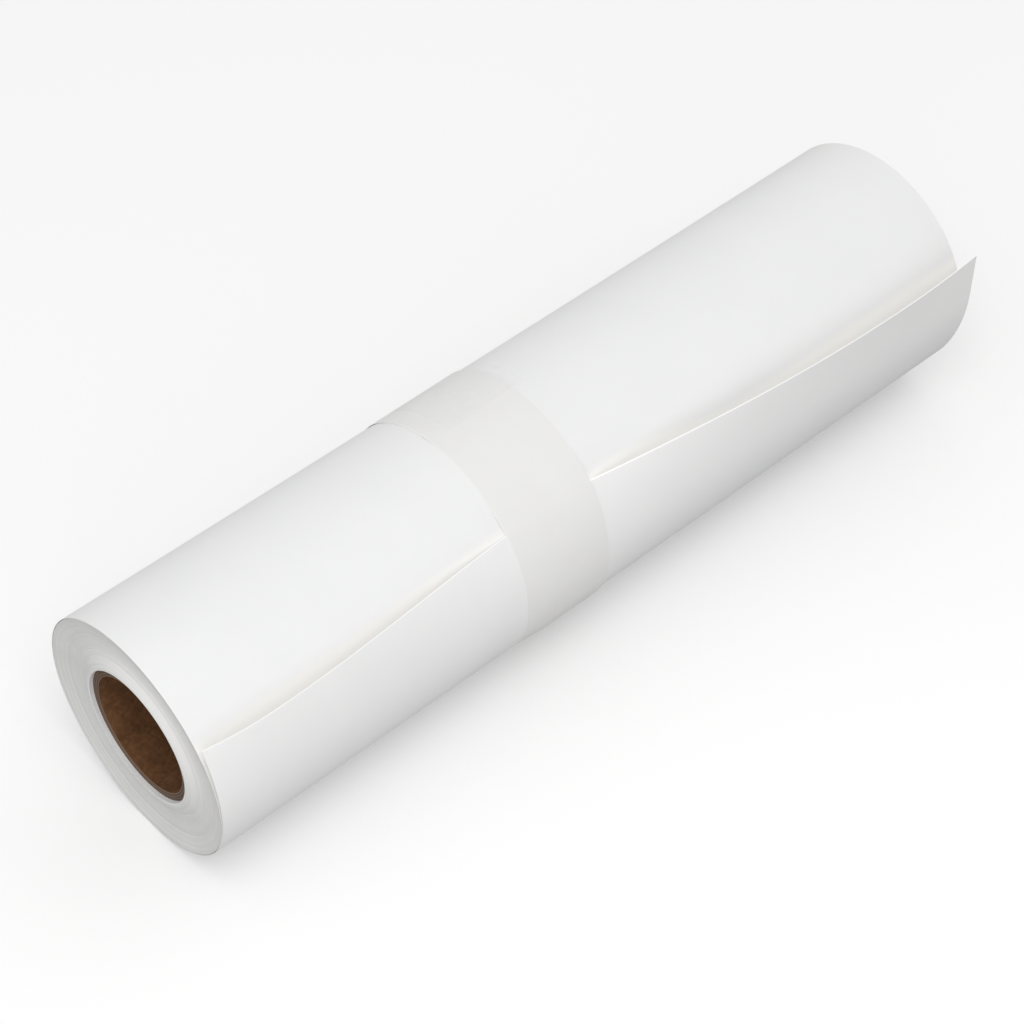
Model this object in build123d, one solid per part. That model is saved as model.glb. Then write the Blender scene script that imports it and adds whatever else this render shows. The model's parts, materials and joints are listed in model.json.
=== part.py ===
# A roll of backdrop paper on a spiral-wound board core, held shut by a paper belly band
# and a piece of clear tape, with the free end of the web lying over the front.
#
# Millimetres, +Z up. The origin is the centre of the core's bore at mid-length, and the
# roll's axis is the X axis. Around the axis, an angle is 0 at the front (-Y), 90 at the
# top (+Z) and 180 at the back (+Y), so the paper is wound up over the front.
import os
from math import cos, degrees, pi, radians, sin

from build123d import *

# Driving dimensions
web_width = 594.0  # width of the paper, so the length of the roll
roll_radius = 77.0  # over the outer turn
bore_radius = 38.25  # a 3 inch core: 76.5 mm inside
core_radius = 43.3  # over the core's cover ply
core_recess = 2.9  # each end of the core stands in from the paper's outer turns
liner_thickness = 0.5  # smooth ply at the bore
cover_thickness = 0.45  # ply that the paper is wound on
board_ply_count = 10
sheet_thickness = 0.3  # paper and band, drawn a little thicker than the real 0.2
body_gap = 0.3  # clearance between pieces that move against each other

# The belly band and its tape
band_start = -73.7  # x of the band's near edge
band_width = 64.6
band_end_angle = 129.0  # outer end of the band, under the tape
band_tuck_angle = 100.0  # inner end, tucked below the outer one
band_hinge_angle = -27.0  # where the opened front half of the band bends
hinge_gap_angle = 0.5
tape_start = -60.3
tape_width = 60.8
tape_thickness = 0.15
tape_front_angle = 93.5
tape_back_angle = 150.0

# The free end of the web
tail_root_angle = -25.0  # where it leaves the turn below
tail_edge_angle = 41.0  # its cut edge, where it lies tight on the roll
tail_side_gap = 0.4  # along X, between the held middle and the two free ends

# The strip of tape that starts the web on the core
start_tape_angle = 200.0
start_tape_width = 20.0
start_tape_length = 500.0
start_tape_thickness = 0.2

# The turns drifted to +X and back while they were wound: outer radius of each group of
# turns, and how far it lies in at the near end and out at the far end
turn_groups = [(46.5, 0.6), (50.0, 1.8), (62.0, 2.9), (67.0, 2.3), (71.6, 1.4), (74.7, 0.6)]
last_group_shift = 0.0

# Worked out from these
half_width = web_width / 2
band_finish = band_start + band_width
core_half_length = half_width - core_recess
turn_radius = roll_radius - sheet_thickness
board_thickness = (core_radius - bore_radius - liner_thickness - cover_thickness) / board_ply_count


def polar(radius, angle):
    """The (Y, Z) point at a radius and an angle around the roll."""
    return (-radius * cos(radians(angle)), radius * sin(radians(angle)))


def arc_strip(radius, thickness, angle, sweep, x, centre=(0.0, 0.0)):
    """A curved strip as a flat face square to X: an arc with a thickness."""
    inner = CenterArc(centre, radius, 180 - angle - sweep, sweep)
    outer = CenterArc(centre, radius + thickness, 180 - angle - sweep, sweep)
    ends = [Line(inner @ i, outer @ i) for i in (0, 1)]
    return Plane.YZ.offset(x) * make_face([inner, outer] + ends)


def shell(radius, thickness, angle, sweep, x_from, x_to):
    """A strip carried along X: part of a thin tube round the roll's axis."""
    return extrude(arc_strip(radius, thickness, angle, sweep, x_from), x_to - x_from)


def tube(inner, outer, half_length):
    """A whole tube round the roll's axis, centred on the origin."""
    ring = Plane.YZ.offset(-half_length) * (Circle(outer) - Circle(inner))
    return extrude(ring, 2 * half_length)


def core_plies():
    """The plies of the spiral-wound core, from the bore outwards."""
    names = ["core_liner_ply"]
    names += [f"core_board_ply_{i + 1:02d}" for i in range(board_ply_count)]
    names += ["core_cover_ply"]
    walls = [liner_thickness] + [board_thickness] * board_ply_count + [cover_thickness]
    plies = {}
    radius = bore_radius
    for name, wall in zip(names, walls):
        plies[name] = tube(radius, radius + wall, core_half_length)
        radius += wall
    return plies


def start_tape(thickness):
    """The strip that holds the web's inner end on the core, or the room that it takes."""
    sweep = degrees(start_tape_width / core_radius)
    half = start_tape_length / 2
    return shell(core_radius, thickness, start_tape_angle - sweep / 2, sweep, -half, half)


def wound_paper():
    """All the turns below the outer one, with ring steps on both ends."""
    near = []
    far = []
    inner = core_radius
    for outer, shift in turn_groups + [(turn_radius, last_group_shift)]:
        near += [(-half_width + shift, inner), (-half_width + shift, outer)]
        far += [(half_width + shift, inner), (half_width + shift, outer)]
        inner = outer
    outline = make_face(Polyline(near + far[::-1], close=True))
    turns = revolve(Plane.XZ * outline, Axis.X)
    return turns - start_tape(start_tape_thickness)


def flare(way, peak, rise, drop):
    """How much flatter than the roll the free end lies, from 0 at the band (way 0) to the
    end of the roll (way 1): a quarter sine up to its peak at 0.8, then a slow fall."""
    if way < 0.8:
        return peak * sin(pi / 2 * (way / 0.8) ** rise)
    return peak - drop * ((way - 0.8) / 0.2) ** 2


def tail_section(x, flatter):
    """A section of the free end: an arc that leaves the roll in line with it, from just
    past its root, with a curvature lower than the roll's by the given part."""
    first = roll_radius + body_gap
    radius = first / (1 - flatter)
    length = radians(tail_edge_angle - tail_root_angle) * roll_radius
    start = tail_root_angle + 1
    centre = polar(first - radius, start)
    return arc_strip(radius, sheet_thickness, start, degrees(length / radius), x, centre)


def tail_end(x_from, x_to, peak, rise, drop):
    """One free end of the web, from beside the band to the end of the roll."""
    sections = []
    for way in (0.0, 0.12, 0.3, 0.55, 0.8, 0.92, 1.0):
        x = x_from + (x_to - x_from) * way
        sections.append(tail_section(x, flare(way, peak, rise, drop)))
    return loft(sections)


tail_sweep = tail_edge_angle - tail_root_angle
band_rise = band_end_angle - band_hinge_angle
parts = core_plies()
parts["start_tape"] = start_tape(start_tape_thickness)
parts["wound_paper"] = wound_paper()
parts["outer_turn"] = tube(turn_radius, roll_radius, half_width)
parts["tail_middle"] = shell(
    roll_radius, sheet_thickness, tail_root_angle, tail_sweep, band_start, band_finish
)
parts["tail_near"] = tail_end(band_start - tail_side_gap, -half_width, 0.3, 1.15, 0.1)
parts["tail_far"] = tail_end(band_finish + tail_side_gap, half_width, 0.53, 0.85, 0.11)
parts["band_back"] = shell(
    roll_radius,
    sheet_thickness,
    band_tuck_angle,
    360 + band_hinge_angle - hinge_gap_angle - band_tuck_angle,
    band_start,
    band_finish,
)
parts["band_front"] = shell(
    roll_radius + sheet_thickness + body_gap,
    sheet_thickness,
    band_hinge_angle + hinge_gap_angle,
    band_rise - hinge_gap_angle,
    band_start,
    band_finish,
)
parts["band_tape"] = shell(
    roll_radius + 2 * sheet_thickness + body_gap,
    tape_thickness,
    tape_front_angle,
    tape_back_angle - tape_front_angle,
    tape_start,
    tape_start + tape_width,
)

os.makedirs("parts", exist_ok=True)
for name, solid in parts.items():
    export_step(solid, f"parts/{name}.step")

hinge_radius = roll_radius + 1.5 * sheet_thickness
print("tail hinge (y, z):", polar(hinge_radius, tail_root_angle))
print("band hinge (y, z):", polar(hinge_radius, band_hinge_angle))
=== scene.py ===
import json
import math

import bpy
import numpy as np
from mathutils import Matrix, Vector


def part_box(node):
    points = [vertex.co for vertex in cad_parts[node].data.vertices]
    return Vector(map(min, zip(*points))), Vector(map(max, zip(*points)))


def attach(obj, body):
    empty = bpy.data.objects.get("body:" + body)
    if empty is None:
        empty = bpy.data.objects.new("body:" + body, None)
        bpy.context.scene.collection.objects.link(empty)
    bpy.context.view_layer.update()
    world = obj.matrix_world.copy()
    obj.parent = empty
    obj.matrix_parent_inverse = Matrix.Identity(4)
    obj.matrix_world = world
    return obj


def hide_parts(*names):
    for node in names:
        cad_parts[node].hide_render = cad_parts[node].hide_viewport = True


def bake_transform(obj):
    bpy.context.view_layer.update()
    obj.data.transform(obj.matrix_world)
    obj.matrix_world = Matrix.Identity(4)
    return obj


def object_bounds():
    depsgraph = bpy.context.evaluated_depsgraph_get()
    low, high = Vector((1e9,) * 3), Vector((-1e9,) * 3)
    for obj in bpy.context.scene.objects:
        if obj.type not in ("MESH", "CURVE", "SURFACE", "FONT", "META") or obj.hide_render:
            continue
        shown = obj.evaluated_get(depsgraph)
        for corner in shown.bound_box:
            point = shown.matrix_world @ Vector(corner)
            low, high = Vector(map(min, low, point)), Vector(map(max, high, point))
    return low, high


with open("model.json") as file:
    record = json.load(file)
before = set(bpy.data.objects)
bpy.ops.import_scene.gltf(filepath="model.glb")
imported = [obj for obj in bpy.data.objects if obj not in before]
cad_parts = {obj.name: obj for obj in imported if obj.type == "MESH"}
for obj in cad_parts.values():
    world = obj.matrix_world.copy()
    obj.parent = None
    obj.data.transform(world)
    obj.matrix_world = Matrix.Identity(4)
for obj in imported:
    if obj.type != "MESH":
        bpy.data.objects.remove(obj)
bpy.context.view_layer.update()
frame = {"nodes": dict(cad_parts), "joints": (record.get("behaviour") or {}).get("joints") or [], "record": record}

# A roll of white background paper on a board core, held shut by a paper band and clear tape.
# Lengths are metres and angles degrees. Around the roll's axis (X) an angle is 0 at the front
# (-Y), 90 at the top (+Z) and 180 at the back (+Y). Place along the roll is x.

mm = 0.001


# ---- what the frame says

def spanX(node):
    low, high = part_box(node)
    return low[0], high[0]


def radiusOf(node):
    low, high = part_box(node)
    return (high[2] - low[2]) / 2


def angleOf(joint):
    place = {j["name"]: j["pos_m"] for j in frame["joints"]}[joint]
    return math.degrees(math.atan2(place[2], -place[1]))


rollRadius = radiusOf("outer_turn")
halfWidth = spanX("outer_turn")[1]
coreRadius = radiusOf("core_cover_ply")
coreHalf = spanX("core_liner_ply")[1]
boreRadius = frame["record"]["mounts"][0]["dims"]["r_mm"] * mm
bandFrom, bandTo = spanX("band_front")
tapeFrom, tapeTo = spanX("band_tape")
tailRoot = angleOf("tail_far_lift")
bandHinge = angleOf("band_open")

sheet = {
    "thickness": 0.30 * mm,      # the background paper
    "tailEdge": 41.0,            # where the free end's cut edge lies when it is tight
    "mottle": 0.04 * mm,         # slow waves in the paper's surface
}
tailLength = math.radians(sheet["tailEdge"] - tailRoot) * rollRadius


# ---- numpy helpers

def place(x, radius, angle):
    # a point from its place along the roll, its radius and its angle
    turn = np.radians(angle)
    x, y, z = np.broadcast_arrays(x, -radius * np.cos(turn), radius * np.sin(turn))
    return np.stack([x, y, z], axis=-1)


def smooth(value, start, end):
    # 0 before start, 1 after end, and 3t^2 - 2t^3 between
    t = np.clip((value - start) / (end - start), 0, 1)
    return t * t * (3 - 2 * t)


def bump(value, centre, width):
    # a bell: e to the minus square of the distance over the width
    return np.exp(-((value - centre) / width) ** 2)


def waves(u, v, seed, count=7, low=0.6, high=3.0):
    # a sum of cosines in u and v with seeded directions and phases, from about -1 to 1
    pick = np.random.default_rng(seed)
    total = 0
    for _ in range(count):
        turn = pick.uniform(0, 2 * np.pi)
        reach = pick.uniform(low, high)
        phase = pick.uniform(0, 2 * np.pi)
        total = total + np.cos(2 * np.pi * reach * (u * np.cos(turn) + v * np.sin(turn)) + phase)
    return total / count


def gridFaces(rows, columns, wrapRows=False, wrapColumns=False, start=0):
    # the quads of a grid of points, row by row
    i = np.arange(rows if wrapRows else rows - 1)[:, None]
    j = np.arange(columns if wrapColumns else columns - 1)[None, :]
    i, j = np.broadcast_arrays(i, j)
    nextRow, nextColumn = (i + 1) % rows, (j + 1) % columns
    quads = np.stack([i * columns + j, i * columns + nextColumn,
                      nextRow * columns + nextColumn, nextRow * columns + j], axis=-1)
    return quads.reshape(-1, 4) + start


def gridNormals(points):
    # the unit cross product of a grid's two directions
    normal = np.cross(np.gradient(points, axis=1), np.gradient(points, axis=0))
    return normal / np.linalg.norm(normal, axis=-1, keepdims=True)


def unwrapped(angle):
    # an angle as one from -180 to 180
    return (angle + 180) % 360 - 180


def sheetSolid(points, thickness, outward):
    # a closed sheet: the grid moved out and in along its normal, and a rim. outward is how far its
    # outer face lies from the grid, as a part of the thickness
    rows, columns = points.shape[:2]
    normal = gridNormals(points)
    top = points + normal * thickness * outward
    bottom = points - normal * thickness * (1 - outward)
    count = rows * columns
    faces = [gridFaces(rows, columns), gridFaces(rows, columns, start=count)[:, ::-1]]
    index = np.arange(count).reshape(rows, columns)
    rim = np.concatenate([index[0, :-1], index[:-1, -1], index[-1, :0:-1], index[:0:-1, 0]])
    after = np.roll(rim, -1)
    faces.append(np.stack([after, rim, rim + count, after + count], axis=-1))
    return np.concatenate([top.reshape(-1, 3), bottom.reshape(-1, 3)]), np.concatenate(faces)


def makeMesh(name, points, faces, sharp=40.0, uv=None):
    # puts whole arrays of points and quads into a mesh; edges past the sharp angle stay crisp, and uv
    # holds one pair of numbers for each point
    mesh = bpy.data.meshes.new(name)
    points = np.ascontiguousarray(points, dtype=np.float32).reshape(-1, 3)
    faces = np.ascontiguousarray(faces, dtype=np.int32)
    mesh.vertices.add(len(points))
    mesh.vertices.foreach_set("co", points.ravel())
    mesh.loops.add(faces.size)
    mesh.loops.foreach_set("vertex_index", faces.ravel())
    mesh.polygons.add(len(faces))
    mesh.polygons.foreach_set("loop_start", np.arange(0, faces.size, 4, dtype=np.int32))
    mesh.polygons.foreach_set("use_smooth", np.ones(len(faces), dtype=bool))
    mesh.update(calc_edges=True)
    if uv is not None:
        mesh.uv_layers.new(name="UVMap").data.foreach_set("uv", np.float32(uv)[faces.ravel()].ravel())
    mesh.validate()
    mesh.set_sharp_from_angle(angle=math.radians(sharp))
    piece = bpy.data.objects.new(name, mesh)
    bpy.context.scene.collection.objects.link(piece)
    return piece


def dress(piece, material, nodes):
    piece.data.materials.append(material)
    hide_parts(*nodes)
    print("made", piece.name, len(piece.data.polygons), "faces")
    return piece


# ---- shader helpers

def setInputs(tree, node, inputs):
    # links or sets inputs, by name or by number
    for key, value in inputs.items():
        if isinstance(value, bpy.types.NodeSocket):
            tree.links.new(value, node.inputs[key])
        else:
            node.inputs[key].default_value = value


def addNode(tree, kind, inputs=None, **settings):
    node = tree.nodes.new(kind)
    for key, value in settings.items():
        setattr(node, key, value)
    setInputs(tree, node, inputs or {})
    return node


def addMath(tree, operation, *values):
    return addNode(tree, "ShaderNodeMath", dict(enumerate(values)), operation=operation).outputs[0]


def mixColour(tree, factor, first, second, blend="MIX"):
    inputs = {0: factor, 6: first, 7: second}
    return addNode(tree, "ShaderNodeMix", inputs, data_type="RGBA", blend_type=blend).outputs[2]


def ramp(tree, factor, stops):
    # each stop is a position and a colour
    node = addNode(tree, "ShaderNodeValToRGB", {0: factor})
    while len(node.color_ramp.elements) < len(stops):
        node.color_ramp.elements.new(0.5)
    for element, (position, colour) in zip(node.color_ramp.elements, stops):
        element.position = position
        element.color = (*colour, 1)
    return node.outputs[0]


def eased(tree, value, start, end, low=0.0, high=1.0, kind="SMOOTHSTEP"):
    # low before start, high after end, and a step of this kind between
    inputs = dict(enumerate((value, start, end, low, high)))
    return addNode(tree, "ShaderNodeMapRange", inputs, interpolation_type=kind).outputs[0]


def noise(tree, where, scale, detail, rough=0.5):
    inputs = {"Vector": where, "Scale": scale, "Detail": detail, "Roughness": rough}
    return addNode(tree, "ShaderNodeTexNoise", inputs).outputs[0]


def lineNoise(tree, value, scale, detail, rough=0.5):
    # noise along a single value
    inputs = {"W": value, "Scale": scale, "Detail": detail, "Roughness": rough}
    return addNode(tree, "ShaderNodeTexNoise", inputs, noise_dimensions="1D").outputs[0]


def bumped(tree, height, distance, strength=1.0):
    inputs = {"Height": height, "Distance": distance, "Strength": strength}
    return addNode(tree, "ShaderNodeBump", inputs).outputs[0]


def useGroup(tree, group, inputs):
    return addNode(tree, "ShaderNodeGroup", inputs, node_tree=group).outputs


def newMaterial(name):
    material = bpy.data.materials.new(name)
    material.use_nodes = True
    tree = material.node_tree
    where = tree.nodes.new("ShaderNodeTexCoord").outputs["Object"]
    return material, tree, tree.nodes["Principled BSDF"], where


# ---- shader groups, used by more than one material

def newGroup(name, inputs, outputs):
    group = bpy.data.node_groups.new(name, "ShaderNodeTree")
    for label, kind in inputs:
        group.interface.new_socket(label, in_out="INPUT", socket_type=kind)
    for label in outputs:
        group.interface.new_socket(label, in_out="OUTPUT", socket_type="NodeSocketFloat")
    return group, group.nodes.new("NodeGroupInput").outputs, group.nodes.new("NodeGroupOutput")


def fibreGroup():
    # paper fibres: two scales of noise give a tooth for the height, and slow noise gives a mottle
    inputs = [("Place", "NodeSocketVector"), ("Tooth", "NodeSocketFloat"), ("Cloud", "NodeSocketFloat")]
    group, inside, outside = newGroup("paperFibres", inputs, ["Height", "Mottle"])
    fine = noise(group, inside["Place"], inside["Tooth"], 3.0, 0.6)
    coarse = noise(group, inside["Place"], addMath(group, "MULTIPLY", inside["Tooth"], 0.22), 2.0)
    height = addMath(group, "MULTIPLY_ADD", coarse, 0.6, fine)
    cloud = noise(group, inside["Place"], inside["Cloud"], 4.0, 0.55)
    setInputs(group, outside, {"Height": height, "Mottle": cloud})
    return group


def polarGroup():
    # the distance from the roll's axis in millimetres, and the angle around it as turns from 0 to 1
    group, inside, outside = newGroup("aroundAxis", [("Place", "NodeSocketVector")], ["Radius", "Turn"])
    parts = addNode(group, "ShaderNodeSeparateXYZ", {"Vector": inside["Place"]}).outputs
    y, z = parts[1], parts[2]
    square = addMath(group, "MULTIPLY_ADD", y, y, addMath(group, "MULTIPLY", z, z))
    radius = addMath(group, "MULTIPLY", addMath(group, "SQRT", square), 1 / mm)
    angle = addMath(group, "ARCTAN2", z, addMath(group, "MULTIPLY", y, -1.0))
    turn = addMath(group, "MULTIPLY_ADD", angle, 1 / (2 * math.pi), 0.5)
    setInputs(group, outside, {"Radius": radius, "Turn": turn})
    return group


fibres = fibreGroup()
aroundAxis = polarGroup()


# ---- paper

papers = {
    "web": {"light": (0.885, 0.885, 0.88), "dark": (0.865, 0.866, 0.862),
            "tooth": 1500.0, "depth": 0.03 * mm, "cloud": 18.0},
    "band": {"light": (0.852, 0.846, 0.837), "dark": (0.838, 0.831, 0.820),
             "tooth": 1900.0, "depth": 0.03 * mm, "cloud": 40.0},
    "startTape": {"light": (0.8, 0.76, 0.62), "dark": (0.72, 0.68, 0.55),
                  "tooth": 1300.0, "depth": 0.04 * mm, "cloud": 50.0},
}

# a painted highlight and painted glow along a cut edge: its width, how light it is, and how strongly it glows
paintedEdgeLines = {
    "tailNearPaper": {"width": 1.1 * mm, "amount": 0.8, "glow": 0.02},
    "tailFarPaper": {"width": 1.1 * mm, "amount": 1.0, "glow": 0.12},
    "bandPaper": {"width": 0.8 * mm, "amount": 0.35, "glow": 0.03},
}

# painted light on the roll under the free end: a warm painted tint and a painted glow, where the crease above the
# cut edge would be in shade
paintedLightUnderTail = {
    "edge": (46.0, 40.0),         # the painted light starts at the first angle and is full from the second
    "root": (1.0, 12.0),          # the same, as degrees above the free end's root
    "farShift": (0.0, 0.12, 11.0),      # from x to x, the edge hides this many degrees less
    "nearShift": (-0.08, -0.25, 3.0),
    "paintedTint": (0.90, 0.885, 0.855, 1),
    "light": (1.0, 0.98, 0.93, 1),
    "glow": 0.065,
}

black = (0, 0, 0, 1)


def paperMaterial(name, light, dark, tooth, depth, cloud):
    # smooth white paper: a fine tooth, a faint cloudiness, and a little light through it
    material, tree, shader, where = newMaterial(name)
    grain = useGroup(tree, fibres, {"Place": where, "Tooth": tooth, "Cloud": cloud})
    setInputs(tree, shader, {
        "Base Color": ramp(tree, grain["Mottle"], [(0.3, dark), (0.7, light)]),
        "Roughness": eased(tree, grain["Height"], 0.5, 1.1, 0.78, 0.92, "LINEAR"),
        "Specular IOR Level": 0.28,
        "Subsurface Weight": 0.12,
        "Subsurface Radius": (1.0, 0.9, 0.75),
        "Subsurface Scale": 0.8 * mm,
        "Normal": bumped(tree, grain["Height"], depth),
    })
    return material


def paintLight(material, mask, paintedTint, light, glow):
    # painted light: where the mask is 1, the base takes on the painted tint and glows a little
    tree = material.node_tree
    shader = tree.nodes["Principled BSDF"]
    colour = shader.inputs["Base Color"].links[0].from_socket
    setInputs(tree, shader, {
        "Base Color": mixColour(tree, mask, colour, paintedTint),
        "Emission Color": mixColour(tree, mask, black, light),
        "Emission Strength": glow,
    })
    return material


def paintEdgeLight(material, width, amount, glow):
    # a painted highlight and painted glow along a cut edge, standing in for the light through it; u is the
    # distance from it
    tree = material.node_tree
    own = tree.nodes.new("ShaderNodeTexCoord").outputs["UV"]
    distance = addNode(tree, "ShaderNodeSeparateXYZ", {"Vector": own}).outputs[0]
    mask = eased(tree, distance, width, width * 0.3, 0.0, amount)
    # the painted highlight's colour and the painted glow's colour
    return paintLight(material, mask, (1, 1, 0.99, 1), (1.0, 1.0, 0.98, 1), glow)


def asTurn(angle):
    # an angle in degrees as aroundAxis gives it
    return 0.5 + angle / 360


def paintLightBelowTail(material):
    # painted light: below the free end the roll's paper gets a warm painted tint and a painted glow, standing in
    # for light through the sheet, from a little above its cut edge down. The cut edge hides less of the roll
    # towards its ends, where it stands off
    tree = material.node_tree
    where = tree.nodes.new("ShaderNodeTexCoord").outputs["Object"]
    turn = useGroup(tree, aroundAxis, {"Place": where})["Turn"]
    x = addNode(tree, "ShaderNodeSeparateXYZ", {"Vector": where}).outputs[0]
    farShift, nearShift = (eased(tree, x, start, end, 0.0, angle / 360)
                           for start, end, angle in (paintedLightUnderTail["farShift"], paintedLightUnderTail["nearShift"]))
    shifted = addMath(tree, "ADD", turn, addMath(tree, "ADD", farShift, nearShift))
    below = eased(tree, shifted, *(asTurn(angle) for angle in paintedLightUnderTail["edge"]))
    above = eased(tree, turn, *(asTurn(tailRoot + angle) for angle in paintedLightUnderTail["root"]))
    mask = addMath(tree, "MULTIPLY", below, above)
    return paintLight(material, mask, paintedLightUnderTail["paintedTint"], paintedLightUnderTail["light"], paintedLightUnderTail["glow"])


# the roll's paper, with painted light below the free end
webPaper = paintLightBelowTail(paperMaterial("webPaper", **papers["web"]))
# the free ends and the band, with a painted highlight and painted glow along their cut edges
tailNearPaper, tailFarPaper, bandPaper = (
    paintEdgeLight(paperMaterial(name, **papers[paper]), **paintedEdgeLines[name])
    for name, paper in (("tailNearPaper", "web"), ("tailFarPaper", "web"), ("bandPaper", "band")))


# ---- the cut ends of the wound turns

# how the cut ends look; the lighter lobe near the core is painted light
endLook = {
    "rings": [(0.3, (0.70, 0.70, 0.695)), (0.48, (0.79, 0.79, 0.78)), (0.66, (0.86, 0.86, 0.85))],
    "clouds": [(0.35, (0.77, 0.765, 0.75)), (0.65, (0.86, 0.86, 0.86))],
    "cloudiness": 0.35,
    "paintedLightColour": (0.985, 0.98, 0.965, 1),
    "paintedLightAngle": 62,            # the way round where light is painted on the ends
    "paintedLightRadius": (75.0, 52.0), # and from which radius inwards, in mm
    "depth": 0.13 * mm,
}


def endMaterial():
    # fine and broad rings of lighter and darker tone, and a painted light lobe near the core, above the front, on
    # both ends
    material, tree, shader, where = newMaterial("woundEnd")
    polar = useGroup(tree, aroundAxis, {"Place": where})
    radius, turn = polar["Radius"], polar["Turn"]
    drifted = addMath(tree, "MULTIPLY_ADD", noise(tree, where, 30.0, 2.0), 0.5, radius)
    spiral = addMath(tree, "ADD", drifted, addMath(tree, "MULTIPLY", turn, 0.2))
    rings = lineNoise(tree, spiral, 4.0, 3.0, 0.7)
    broad = lineNoise(tree, radius, 0.35, 2.0)
    grain = useGroup(tree, fibres, {"Place": where, "Tooth": 2600.0, "Cloud": 35.0})
    tone = addMath(tree, "ADD", addMath(tree, "MULTIPLY", rings, 0.55), addMath(tree, "MULTIPLY", broad, 0.45))
    colour = ramp(tree, tone, endLook["rings"])
    clouded = mixColour(tree, endLook["cloudiness"], colour, ramp(tree, grain["Mottle"], endLook["clouds"]))
    # painted light: a lighter lobe near the core, on the side that faces the key light
    offset = -math.pi - math.radians(endLook["paintedLightAngle"])
    facing = addMath(tree, "COSINE", addMath(tree, "MULTIPLY_ADD", turn, 2 * math.pi, offset))
    inner = eased(tree, radius, *endLook["paintedLightRadius"])
    paintedLightLobe = addMath(tree, "MULTIPLY", addMath(tree, "MAXIMUM", facing, 0.0), inner)
    height = addMath(tree, "MULTIPLY_ADD", grain["Height"], 0.12, rings)
    setInputs(tree, shader, {
        "Base Color": mixColour(tree, paintedLightLobe, clouded, endLook["paintedLightColour"]),
        "Roughness": 0.9,
        "Specular IOR Level": 0.2,
        "Normal": bumped(tree, height, endLook["depth"], 0.8),
    })
    return material


# ---- kraft board

boards = {
    "linerBoard": {
        "tones": ((0.115, 0.053, 0.022), (0.165, 0.078, 0.034), (0.225, 0.11, 0.05)),
        "cut": (0.26, 0.175, 0.13), "along": 260.0, "across": 60.0, "depth": 0.12 * mm,
    },
    "plyBoard": {
        "tones": ((0.11, 0.075, 0.055), (0.16, 0.11, 0.082), (0.22, 0.155, 0.12)),
        "cut": (0.15, 0.105, 0.08), "along": 900.0, "across": 220.0, "depth": 0.1 * mm,
    },
    "coverBoard": {
        "tones": ((0.15, 0.105, 0.078), (0.22, 0.155, 0.115), (0.31, 0.225, 0.17)),
        "cut": (0.24, 0.175, 0.135), "along": 900.0, "across": 220.0, "depth": 0.1 * mm,
    },
}
boardFlecks = [(0.34, (0.86, 0.85, 0.84)), (0.48, (1, 1, 1)), (0.72, (1.15, 1.12, 1.08))]


def boardMaterial(name, tones, cut, along, across, depth):
    # fibres drawn out along the strip's own turns, flecks and slow stains, and another tone on the
    # cut ends; along and across are how many fibres there are in a metre and in a turn
    material, tree, shader, where = newMaterial(name)
    polar = useGroup(tree, aroundAxis, {"Place": where})
    x = addNode(tree, "ShaderNodeSeparateXYZ", {"Vector": where}).outputs[0]
    strand = addNode(tree, "ShaderNodeCombineXYZ", {
        "X": addMath(tree, "MULTIPLY_ADD", polar["Turn"], 12.0, addMath(tree, "MULTIPLY", x, along)),
        "Y": addMath(tree, "MULTIPLY", polar["Turn"], across),
        "Z": addMath(tree, "MULTIPLY", polar["Radius"], 0.8),
    }).outputs[0]
    fibre = noise(tree, strand, 1.0, 5.0, 0.65)
    grain = useGroup(tree, fibres, {"Place": where, "Tooth": 900.0, "Cloud": 60.0})
    tone = addMath(tree, "ADD", addMath(tree, "MULTIPLY", fibre, 0.5),
                   addMath(tree, "MULTIPLY", grain["Mottle"], 0.5))
    colour = ramp(tree, tone, list(zip((0.34, 0.5, 0.66), tones)))
    flecks = ramp(tree, noise(tree, where, 420.0, 2.0), boardFlecks)
    flecked = mixColour(tree, 1.0, colour, flecks, "MULTIPLY")
    end = eased(tree, addMath(tree, "ABSOLUTE", x), coreHalf - 0.5 * mm, coreHalf - 0.2 * mm)
    height = addMath(tree, "ADD", fibre, addMath(tree, "MULTIPLY", grain["Height"], 0.5))
    setInputs(tree, shader, {
        "Base Color": mixColour(tree, end, flecked, (*cut, 1)),
        "Roughness": 0.9,
        "Specular IOR Level": 0.2,
        "Normal": bumped(tree, height, depth),
    })
    return material


# ---- clear film

def tapeMaterial():
    # glossy, faintly grey, with a few silvered air bubbles under it
    material, tree, shader, where = newMaterial("clearTape")
    bubbles = noise(tree, where, 60.0, 3.0)
    setInputs(tree, shader, {
        "Alpha": ramp(tree, bubbles, [(0.45, (0.02, 0.02, 0.02)), (0.72, (0.05, 0.05, 0.05))]),
        "Base Color": ramp(tree, bubbles, [(0.4, (0.86, 0.87, 0.88)), (0.7, (0.92, 0.93, 0.94))]),
        "Roughness": 0.22,
        "IOR": 1.45,
        "Normal": bumped(tree, bubbles, 0.2 * mm),
    })
    return material


woundEnd = endMaterial()
linerBoard, plyBoard, coverBoard = (boardMaterial(name, **look) for name, look in boards.items())
clearTape = tapeMaterial()
startTapeFilm = paperMaterial("startTapeFilm", **papers["startTape"])
print("materials ready")


# ---- the roll's surface, shared by the outer turn, the free end and the band

shape = {
    "at": [-1.0, -0.14, 1.0],                # places along the roll, as parts of its half width
    "swell": [0.0052, 0.0012, 0.0044],       # how much thicker it is there, as a part of its radius
    "bow": [0.00125, -0.00275, 0.007],       # how far its middle lies off the axis there
    "bowAngle": 136.0,                       # the way in which it lies off
}


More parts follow.
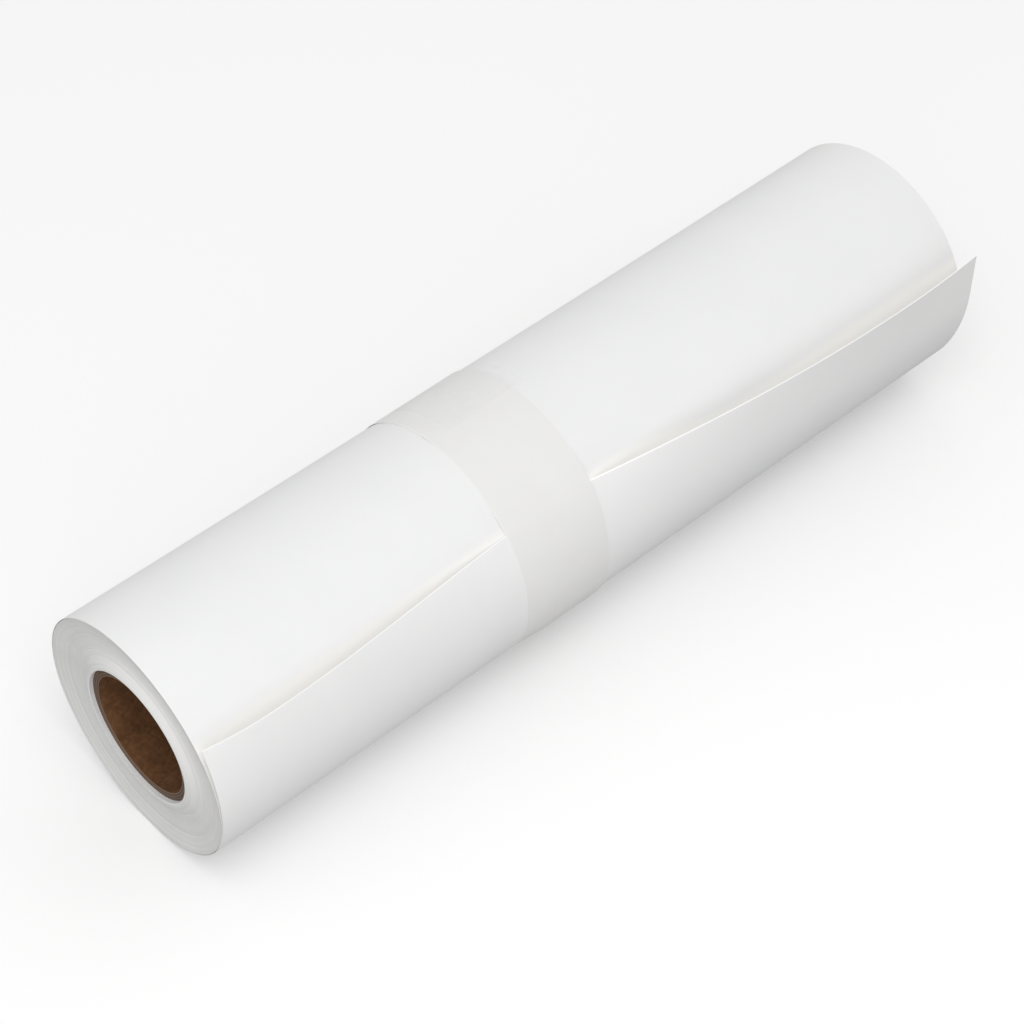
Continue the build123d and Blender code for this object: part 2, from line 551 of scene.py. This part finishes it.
def rollSurface(x, angle):
    # the radius of the last turn's outer face: a cylinder, slimmer by the band and slightly bowed,
    # both as parabolas through three places along it, with slow waves in the paper
    swell = np.polyval(np.polyfit(shape["at"], shape["swell"], 2), x / halfWidth)
    bow = np.polyval(np.polyfit(shape["at"], shape["bow"], 2), x / halfWidth)
    ripple = sheet["mottle"] * waves(x * 9, angle / 60, 11, 9)
    return rollRadius * (1 + swell + bow * np.cos(np.radians(angle - shape["bowAngle"]))) + ripple


# ---- outer turn: one turn of the web, a spiral ribbon that ends where the free end leaves

outer = {"rows": 150, "columns": 300}


def makeOuterTurn():
    # the radius shrinks by one thickness over a whole turn, from the free end's root backwards
    x = np.linspace(-halfWidth, halfWidth, outer["rows"])[:, None]
    back = np.linspace(0, 1, outer["columns"])[None, :]
    angle = tailRoot - 360 * back
    radius = rollSurface(x, angle) - sheet["thickness"] * back
    points, faces = sheetSolid(place(x, radius, angle)[:, ::-1], sheet["thickness"], outward=0.0)
    return dress(makeMesh("outerTurn", points, faces), webPaper, ["outer_turn"])


# ---- the wound paper below it, with ring steps on its ends

wound = {
    "ringRows": 132,
    "columns": 288,
    "wallRows": 38,
    "clear": 0.02 * mm,       # between it and the core
    "below": 1.04,            # and below the outer turn's face, in thicknesses
    # radius in mm, and how many mm the turns there lie in at the near end and out at the far end
    "drift": [(43.3, 0.7), (45.5, 0.5), (47.0, 0.75), (52.0, 2.6),
              (58.0, 2.9), (66.0, 2.3), (72.0, 1.2), (76.5, 0.1)],
    # radius and depth of the grooves between groups of turns, in mm
    "grooves": [(46.9, 0.3), (52.0, 0.2), (56.0, 0.25), (66.2, 0.25), (70.5, 0.12), (73.4, 0.15)],
    "grooveWidth": 0.35,
    "turnPitch": 0.45,        # mm of radius from one drawn turn to the next
    "turnShift": 0.05 * mm,   # how unevenly single turns stand
    "slowShift": 0.12 * mm,   # how far the ends wander round the roll
}


def ringShift(radius, angle, side):
    # how far the turns at a radius lie towards +X: their slow drift, grooves between groups of turns
    # (side is -1 at the near end and 1 at the far end), single turns that stand a little in or out,
    # and slow changes round the roll
    r = radius / mm
    edges, drift = np.array(wound["drift"]).T
    shift = np.interp(r, edges, drift)
    for edge, depth in wound["grooves"]:
        shift = shift - side * depth * bump(r, edge, wound["grooveWidth"])
    turns = np.arange(40.0, 80.0, wound["turnPitch"])
    uneven = np.random.default_rng(5).normal(0, 1, len(turns))
    single = np.interp(r, turns, uneven) * wound["turnShift"]
    way = np.radians(angle)
    slow = wound["slowShift"] * waves(np.cos(way) + r / 40, np.sin(way), 8, 6, 0.2, 0.7)
    return shift * mm + single + slow


def makeWoundPaper():
    # the outermost ring keeps just inside the spiral of the outer turn
    part = np.linspace(0, 1, wound["ringRows"])[:, None]
    angle = np.linspace(0, 360, wound["columns"], endpoint=False)[None, :]
    back = ((tailRoot - angle) % 360) / 360
    first = coreRadius + wound["clear"]

    def outermost(x):
        return rollSurface(x, angle) - sheet["thickness"] * (wound["below"] + back)

    near = first + (outermost(-halfWidth) - first) * part
    far = (first + (outermost(halfWidth) - first) * part)[::-1]
    walls = np.linspace(-1, 1, wound["wallRows"] + 2)[1:-1, None] * halfWidth
    points = np.concatenate([
        place(-halfWidth + ringShift(near, angle, -1), near, angle),
        place(walls, outermost(walls), angle),
        place(halfWidth + ringShift(far, angle, 1), far, angle),
        place(-walls, first, angle),
    ])
    faces = gridFaces(*points.shape[:2], wrapRows=True, wrapColumns=True)[:, ::-1]
    return dress(makeMesh("woundPaper", points, faces, 50), woundEnd, ["wound_paper"])


# ---- the core: one closed tube for each ply

core = {
    "columns": 180,
    "unevenEnd": 0.16 * mm,   # how far one ply's cut end stands in or out
    "endWave": 0.08 * mm,     # and how far it wanders round the ply
    "edge": 0.06 * mm,        # rounding of a ply's edges
    "seamWidth": 0.7 * mm,    # butt joint of the liner's helical strip
    "seamDepth": 0.22 * mm,
    "fuzz": 0.02 * mm,        # unevenness of the bore
    "pitch": 0.118,           # how far the liner's strip climbs in one turn
    "linerRows": 260,
    "pale": (4, 8),           # board plies that are lighter
}


def makePly(name, node, inner, outer, seed, material):
    # a ring profile carried round the axis; its ends stand in or out a little, ply by ply, and the
    # liner's bore has a shallow helical groove where the strip's edges meet
    pick = np.random.default_rng(seed)
    stand = pick.uniform(-1, 1, 2) * core["unevenEnd"]
    angle = np.linspace(0, 360, core["columns"], endpoint=False)[None, :]
    way = np.radians(angle)
    wave = waves(np.cos(way), np.sin(way), seed, 6, 0.5, 2.5) * core["endWave"]
    near, far = -coreHalf + stand[0] + wave, coreHalf + stand[1] - wave
    isLiner = node == "core_liner_ply"
    rows = core["linerRows"] if isLiner else 2
    boreX = np.linspace(1, -1, rows)[:, None] * (coreHalf - 2 * core["unevenEnd"])
    turned, radius = angle + 0 * boreX, inner
    if isLiner:
        # columns follow the helix, so the groove lies along one of them
        turned = angle + 360 * boreX / core["pitch"]
        groove = core["seamDepth"] * bump(np.radians(unwrapped(angle)) * inner, 0, core["seamWidth"] / 2)
        radius = inner + groove + core["fuzz"] * waves(boreX * 60, angle / 20, seed + 1, 9)
    edge, first, last = core["edge"], turned[:1], turned[-1:]
    rings = [(boreX, radius, turned),
             (near + edge, inner, last), (near, inner + edge, last),
             (near, outer - edge, last), (near + edge, outer, last),
             (far - edge, outer, first), (far, outer - edge, first),
             (far, inner + edge, first), (far - edge, inner, first)]
    points = np.concatenate([place(*ring) for ring in rings])
    faces = gridFaces(*points.shape[:2], wrapRows=True, wrapColumns=True)
    return dress(makeMesh(name, points, faces, 50), material, [node])


def makeCore():
    # the plies in order from the bore outwards
    boardNodes = sorted(n for n in frame["nodes"] if n.startswith("core_board_ply"))
    nodes = ["core_liner_ply"] + boardNodes + ["core_cover_ply"]
    outers = [radiusOf(n) for n in nodes]
    outers[-1] = coreRadius
    inners = [boreRadius] + outers[:-1]
    for n, (node, inner, outer) in enumerate(zip(nodes, inners, outers)):
        first, last = n == 0, n == len(nodes) - 1
        material = linerBoard if first else coverBoard if last or n in core["pale"] else plyBoard
        yield makePly(f"corePly{n:02d}", node, inner, outer, 30 + n, material)


# ---- the free end of the web: flat where the band holds it, standing off towards both ends

tail = {
    "columns": 60,
    "rows": 110,
    "near": {"peak": 0.22, "rise": 1.15, "drop": 0.08},
    "far": {"peak": 0.45, "rise": 0.85, "drop": 0.04},
    "turnAt": 0.8,            # part of the way where it stands off the most
    "straighten": 1.44,       # how much flatter still the sheet is towards its cut edge
    "lip": 0.8 * mm,          # the last row of faces, along the cut edge
}
middle = (bandFrom + bandTo) / 2


def flare(way, kind):
    # how much flatter than the roll the sheet curves: a quarter sine up to its peak, then a slow fall
    rising = kind["peak"] * np.sin(np.pi / 2 * np.minimum(way / tail["turnAt"], 1) ** kind["rise"])
    return rising - kind["drop"] * (np.maximum(way - tail["turnAt"], 0) / (1 - tail["turnAt"])) ** 2


def tailGrid(x, along, kind, way):
    # the sheet leaves the roll in line with it at the root, with a curvature less than the roll's by
    # flare, and straighter towards the cut edge; along runs from 0 at the root to 1. The angle is the
    # running sum of the curvature, and the place is the running sum of the angle's direction
    start = rollSurface(x, tailRoot)
    curve = (1 - flare(way, kind) * (1 + tail["straighten"] * smooth(along, 0.5, 0.75))) / start
    step = np.diff(along, axis=1) * tailLength

    def runningSum(values):
        return np.cumsum(np.pad((values[:, 1:] + values[:, :-1]) / 2 * step, ((0, 0), (1, 0))), axis=1)

    facing = math.radians(tailRoot) + runningSum(curve)
    out, up = runningSum(np.sin(facing)), runningSum(np.cos(facing))
    return np.stack([np.broadcast_to(x, facing.shape), out, up], axis=-1) + place(0, start, tailRoot)


def makeTail(name, node, side, xEnd):
    # side is near or far; the sheet runs from the middle of the band to the end of the roll
    x = np.linspace(middle, xEnd, tail["rows"])[:, None]
    along = np.append(np.linspace(0, 1 - tail["lip"] / tailLength, tail["columns"]), 1)[None, :]
    bandEdge = bandFrom if side == "near" else bandTo
    way = np.clip((x - bandEdge) / (xEnd - bandEdge), 0, 1)
    grid = tailGrid(x, along, tail[side], way)
    if side == "far":
        grid = grid[::-1]
    points, faces = sheetSolid(grid[:, ::-1], sheet["thickness"], outward=0.0)
    # own UV: the distance from the cut edge and the place along the roll, both in metres
    distance = np.broadcast_to((1 - along[:, ::-1]) * tailLength, grid.shape[:2])
    uv = np.stack([distance.ravel(), grid[:, ::-1, 0].ravel()], axis=-1)
    piece = makeMesh(name, points, faces, uv=np.concatenate([uv, uv]))
    return dress(piece, tailNearPaper if side == "near" else tailFarPaper, [node])


# ---- the belly band: the back goes round and under, the front goes over the top and can open

band = {
    "thickness": 0.26 * mm,
    "clear": 0.06 * mm,       # between the roll and the band
    "end": 129.0,             # its outer end, at the top and a little behind
    "tuck": 100.0,            # its inner end, under the outer one
    "doubled": 1.3,           # how far the outer end lies over the inner one, in thicknesses
    "split": bandHinge - 13,  # where the two halves meet, under the roll
    "bend": 12.0,             # degrees to each side of the hinge; two points are placed from it and not used
    "columns": 26,
    "backRows": 130,
    "frontRows": 150,
    "margin": 0.8 * mm,       # the outermost rows of faces, along the long edges
    "lift": 0.9 * mm,         # over the edge of the free end
    "sag": 1.5 * mm,          # how far it hangs off the roll below the free end's root
    "sagAngle": -38.0,
    "crown": 0.8 * mm,        # how far its taped end stands off at the top of the back
    "crownAngle": 139.0,
    "ripple": 0.03 * mm,
}


def belowBand(x, angle):
    # the roll's surface with the held middle of the free end on it, which is round about the axis
    way, edge = unwrapped(angle), sheet["tailEdge"]
    held = smooth(way, tailRoot - 3, tailRoot) * (1 - smooth(way, edge + 1, edge + 20))
    bare = rollSurface(x, angle)
    return bare + held * np.maximum(rollSurface(x, tailRoot) - bare, 0)


def bandSurface(x, angle, layer):
    # the band's inner face: it clears the roll, rides up over the free end's cut edge, more so at its
    # far edge, and layer raises it where it lies over its own other end
    side = (x - bandFrom) / (bandTo - bandFrom)
    over = band["lift"] * bump(angle, sheet["tailEdge"] - 4, 16) * (0.2 + 0.8 * side ** 2)
    hang = band["sag"] * bump(unwrapped(angle - band["sagAngle"]), 0, 24) * (0.1 + 0.9 * smooth(side, 0, 0.4))
    crown = band["crown"] * bump(angle, band["crownAngle"], 11) * (0.5 + 0.5 * side)
    ripple = band["ripple"] * (1 + waves(side * 0.7, angle / 45, 21, 6))
    raised = layer * band["thickness"] * band["doubled"]
    return belowBand(x, angle) + band["clear"] + over + hang + crown + ripple + raised


def makeBand(name, node, start, end, layer, rows):
    # one half of the band, between two angles; layer gives how far it's raised at an angle
    x = np.linspace(bandFrom, bandTo, band["columns"])
    x = np.sort(np.append(x, [bandFrom + band["margin"], bandTo - band["margin"]]))[:, None]
    angle = np.linspace(start, end, rows)[None, :]
    grid = place(x, bandSurface(x, angle, layer(angle)), angle)
    points, faces = sheetSolid(grid[:, ::-1], band["thickness"], outward=1.0)
    # own UV: the distance from the near long edge and the angle
    distance, way = np.broadcast_arrays(x - bandFrom, np.radians(angle[:, ::-1]))
    uv = np.stack([distance.ravel(), way.ravel()], axis=-1)
    piece = makeMesh(name, points, faces, uv=np.concatenate([uv, uv]))
    return dress(piece, bandPaper, [node])


# ---- the tape that closes the band

film = {
    "columns": 60,
    "rows": 90,
    "thickness": 0.09 * mm,
    "clear": 0.05 * mm,       # between it and the paper
    "onBand": 0.02 * mm,      # and between it and the band
    "bubbles": 0.04 * mm,     # how high the air under it lifts it
    "front": 93.5,
    "back": 150.0,
    "skew": 2.6,              # the front cut end runs this many degrees off square
}


def makeTape():
    # it lies on the band, drops over the band's outer end, and drops off its far edge onto the paper
    x = np.linspace(tapeFrom, tapeTo, film["columns"])[:, None]
    front = film["front"] + film["skew"] * (x - tapeFrom) / (tapeTo - tapeFrom)
    angle = front + (film["back"] - front) * np.linspace(0, 1, film["rows"])[None, :]
    onBand = 1 - smooth(x, bandTo - 0.2 * mm, bandTo + 3.0 * mm)
    doubled = 1 - smooth(angle, band["end"] - 0.1, band["end"] + 2.0)
    surface = rollSurface(x, angle) + film["clear"]
    raised = bandSurface(x, angle, doubled) + band["thickness"] + film["onBand"] - surface
    bubbles = film["bubbles"] * (1 + waves(x * 60, angle / 9, 31, 10))
    grid = place(x, surface + onBand * raised + bubbles, angle)
    points, faces = sheetSolid(grid[:, ::-1], film["thickness"], outward=1.0)
    return dress(makeMesh("bandTape", points, faces), clearTape, ["band_tape"])


# ---- make the pieces and let them ride

outerTurn = makeOuterTurn()
woundPaper = makeWoundPaper()
plies = list(makeCore())
for piece in [outerTurn, woundPaper] + plies:
    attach(piece, "roll")

for name, node, side, xEnd in (("tailNear", "tail_near", "near", -halfWidth),
                               ("tailFar", "tail_far", "far", halfWidth)):
    piece = makeTail(name, node, side, xEnd)
    low, high = place(0, rollRadius, tailRoot)[2], place(0, rollRadius, sheet["tailEdge"])[2]
    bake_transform(piece)
    if side == "near":
        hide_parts("tail_middle")

bandBack = makeBand("bandBack", "band_back", band["tuck"], 360 + band["split"],
                    lambda angle: 0 * angle, band["backRows"])
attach(bandBack, "roll")
bandFront = makeBand("bandFront", "band_front", band["split"], band["end"],
                     lambda angle: smooth(angle, band["tuck"] - 12, band["tuck"] - 1), band["frontRows"])
bendLow = place(0, rollRadius, bandHinge - band["bend"])
bendHigh = place(0, rollRadius, bandHinge + band["bend"])
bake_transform(bandFront)
bandTape = makeTape()
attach(bandTape, "band_flap")

startTape = frame["nodes"]["start_tape"]
startTape.data.materials.clear()
startTape.data.materials.append(startTapeFilm)
print("pieces ride on their bodies")


# ---- floor, light and camera

studio = {
    "sky": 0.73,
    "lamps": {
        "key": {"size": 1.4, "place": (-0.60, -0.85, 2.1), "energy": 14.8},
        "fill": {"size": 0.8, "place": (-0.62, -0.95, 0.28), "energy": 1.5},
    },
    "floor": (0.82, 0.82, 0.82),      # as the camera sees it
    "floorGlow": 0.2,
    "bounce": (0.48, 0.48, 0.48, 1),  # what it gives back to the roll
    "floorReach": 12.0,
    "floorClear": 0.1 * mm,
    # the camera looks down at the roll from the left front, along a line of this azimuth and
    # elevation; its aim and its distance are in roll radii
    "camera": {"azimuth": -41.90, "elevation": 47.80, "aim": (-0.2535, -0.0495, -0.1869),
               "away": 22.474, "lens": 101.0},
}


def link(name, data):
    holder = bpy.data.objects.new(name, data)
    bpy.context.scene.collection.objects.link(holder)
    return holder


def makeStage():
    # a wide square just below the roll, lighter to the camera than to the roll
    reach, z = studio["floorReach"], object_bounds()[0][2] - studio["floorClear"]
    corners = [(-reach, -reach, z), (reach, -reach, z), (reach, reach, z), (-reach, reach, z)]
    mesh = bpy.data.meshes.new("floor")
    mesh.from_pydata(corners, [], [(0, 1, 2, 3)])
    floor = link("floor", mesh)
    material, tree, shader, where = newMaterial("paleFloor")
    light = studio["floor"]
    haze = ramp(tree, noise(tree, where, 0.8, 1.0), [(0.3, tuple(c * 0.99 for c in light)), (0.7, light)])
    seen = tree.nodes.new("ShaderNodeLightPath").outputs["Is Camera Ray"]
    setInputs(tree, shader, {
        "Base Color": mixColour(tree, seen, studio["bounce"], haze),
        "Emission Color": seen,
        "Emission Strength": studio["floorGlow"],
        "Roughness": 0.95,
        "Specular IOR Level": 0.1,
    })
    mesh.materials.append(material)


def makeLight():
    world = bpy.data.worlds.new("studio")
    world.use_nodes = True
    backdrop = world.node_tree.nodes["Background"]
    backdrop.inputs["Color"].default_value = (1, 1, 1, 1)
    backdrop.inputs["Strength"].default_value = studio["sky"]
    bpy.context.scene.world = world
    for name, make in studio["lamps"].items():
        lamp = bpy.data.lights.new(name, "AREA")
        lamp.shape, lamp.size, lamp.energy = "SQUARE", make["size"], make["energy"]
        holder = link(name, lamp)
        holder.location = make["place"]
        holder.rotation_mode = "QUATERNION"
        holder.rotation_quaternion = (-holder.location).to_track_quat("-Z", "Y")


def makeCamera():
    make = studio["camera"]
    azimuth, elevation = math.radians(make["azimuth"]), math.radians(make["elevation"])
    level = math.cos(elevation)
    back = Vector((math.sin(azimuth) * level, -math.cos(azimuth) * level, math.sin(elevation)))
    lens = bpy.data.cameras.new("camera")
    lens.lens, lens.sensor_width = make["lens"], 36.0
    lens.clip_start, lens.clip_end = 0.05, 60.0
    camera = link("camera", lens)
    camera.location = (Vector(make["aim"]) + back * make["away"]) * rollRadius
    camera.rotation_mode = "QUATERNION"
    camera.rotation_quaternion = (-back).to_track_quat("-Z", "Y")
    bpy.context.scene.camera = camera


makeStage()
makeLight()
makeCamera()
bpy.context.scene.view_settings.view_transform = "Standard"
print("stage, light and camera ready")
